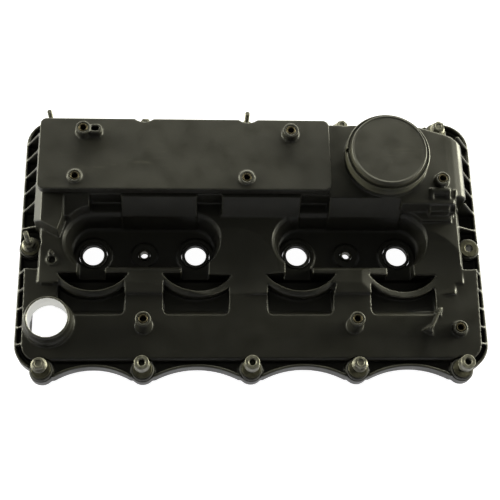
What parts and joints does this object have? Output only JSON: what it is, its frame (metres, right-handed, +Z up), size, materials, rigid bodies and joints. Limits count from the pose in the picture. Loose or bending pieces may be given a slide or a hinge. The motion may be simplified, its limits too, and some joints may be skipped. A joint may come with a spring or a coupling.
{
  "type": "cylinder head cover",
  "caption": "Moulded rocker cover for an inline engine head, with oil separator lid, pressure valve, injector wells, filler neck and captive flange bolts.",
  "frame": {"origin": "centre of the overall box at the height of the gasket's underside", "axes": "+X along the row of injectors towards the pressure valve end, +Y towards the separator side, +Z up away from the head"},
  "size_m": [0.4392, 0.2664, 0.071],
  "materials": {
    "moulding": "fine moulded grain, near-black warm grey",
    "lid": "fine moulded grain, near-black warm grey",
    "baffle": "natural moulded",
    "rubber": "matt black elastomer",
    "steel": "zinc plated",
    "fastener": "dull grey zinc flake",
    "brass": "dull"
  },
  "bodies": {
    "cover": {"cover_body": "moulding", "separator_lid": "lid", "separator_baffle": "baffle", "valve_cap": "lid", "valve_retaining_ring": "moulding", "valve_diaphragm": "rubber", "valve_spring": "steel", "perimeter_gasket": "rubber", "injector_seal_1": "rubber", "injector_seal_2": "rubber", "injector_seal_3": "rubber", "injector_seal_4": "rubber", "clamp_sleeve_1": "steel", "clamp_sleeve_2": "steel", "insert_lid_corner": "brass", "insert_lid_left": "brass", "insert_lid_middle": "brass", "insert_lid_right": "brass", "insert_rear_deck": "brass", "insert_front_left": "brass", "insert_front_right": "brass", "insert_front_corner": "brass", "grommet_front_1": "rubber", "sleeve_front_1": "steel", "grommet_front_2": "rubber", "sleeve_front_2": "steel", "grommet_front_3": "rubber", "sleeve_front_3": "steel", "grommet_front_4": "rubber", "sleeve_front_4": "steel", "grommet_front_5": "rubber", "sleeve_front_5": "steel", "grommet_rear_1": "rubber", "sleeve_rear_1": "steel", "grommet_rear_2": "rubber", "sleeve_rear_2": "steel", "grommet_rear_3": "rubber", "sleeve_rear_3": "steel", "grommet_rear_4": "rubber", "sleeve_rear_4": "steel", "grommet_rear_5": "rubber", "sleeve_rear_5": "steel", "grommet_left": "rubber", "sleeve_left": "steel", "grommet_right": "rubber", "sleeve_right": "steel"},
    "valve_plate": {"valve_plate": "steel"},
    "bolt_front_1": {"bolt_front_1": "fastener"},
    "bolt_front_2": {"bolt_front_2": "fastener"},
    "bolt_front_3": {"bolt_front_3": "fastener"},
    "bolt_front_4": {"bolt_front_4": "fastener"},
    "bolt_front_5": {"bolt_front_5": "fastener"},
    "bolt_rear_1": {"bolt_rear_1": "fastener"},
    "bolt_rear_2": {"bolt_rear_2": "fastener"},
    "bolt_rear_3": {"bolt_rear_3": "fastener"},
    "bolt_rear_4": {"bolt_rear_4": "fastener"},
    "bolt_rear_5": {"bolt_rear_5": "fastener"},
    "bolt_left": {"bolt_left": "fastener"}
  },
  "joints": [
    {"name": "bolt_front_1_slide", "type": "slide", "parent": "cover", "child": "bolt_front_1", "axis": [0, 0, 1], "range_m": [-0.0127, 0]},
    {"name": "bolt_front_2_slide", "type": "slide", "parent": "cover", "child": "bolt_front_2", "axis": [0, 0, 1], "range_m": [-0.0127, 0]},
    {"name": "bolt_front_3_slide", "type": "slide", "parent": "cover", "child": "bolt_front_3", "axis": [0, 0, 1], "range_m": [-0.0127, 0]},
    {"name": "bolt_front_4_slide", "type": "slide", "parent": "cover", "child": "bolt_front_4", "axis": [0, 0, 1], "range_m": [-0.0127, 0]},
    {"name": "bolt_front_5_slide", "type": "slide", "parent": "cover", "child": "bolt_front_5", "axis": [0, 0, 1], "range_m": [-0.0127, 0]},
    {"name": "bolt_rear_1_slide", "type": "slide", "parent": "cover", "child": "bolt_rear_1", "axis": [0, 0, 1], "range_m": [-0.0037, 0]},
    {"name": "bolt_rear_2_slide", "type": "slide", "parent": "cover", "child": "bolt_rear_2", "axis": [0, 0, 1], "range_m": [-0.0052, 0]},
    {"name": "bolt_rear_3_slide", "type": "slide", "parent": "cover", "child": "bolt_rear_3", "axis": [0, 0, 1], "range_m": [-0.0037, 0]},
    {"name": "bolt_rear_4_slide", "type": "slide", "parent": "cover", "child": "bolt_rear_4", "axis": [0, 0, 1], "range_m": [-0.0052, 0]},
    {"name": "bolt_rear_5_slide", "type": "slide", "parent": "cover", "child": "bolt_rear_5", "axis": [0, 0, 1], "range_m": [-0.0052, 0]},
    {"name": "bolt_left_slide", "type": "slide", "parent": "cover", "child": "bolt_left", "axis": [0, 0, 1], "range_m": [-0.0037, 0]},
    {"name": "valve_plate_slide", "type": "slide", "parent": "cover", "child": "valve_plate", "axis": [0, 0, 1], "range_m": [-0.0035, 0], "stiffness_N_per_m": 200, "springref_m": 0.004, "deforming": ["valve_spring", "valve_diaphragm"]}
  ]
}
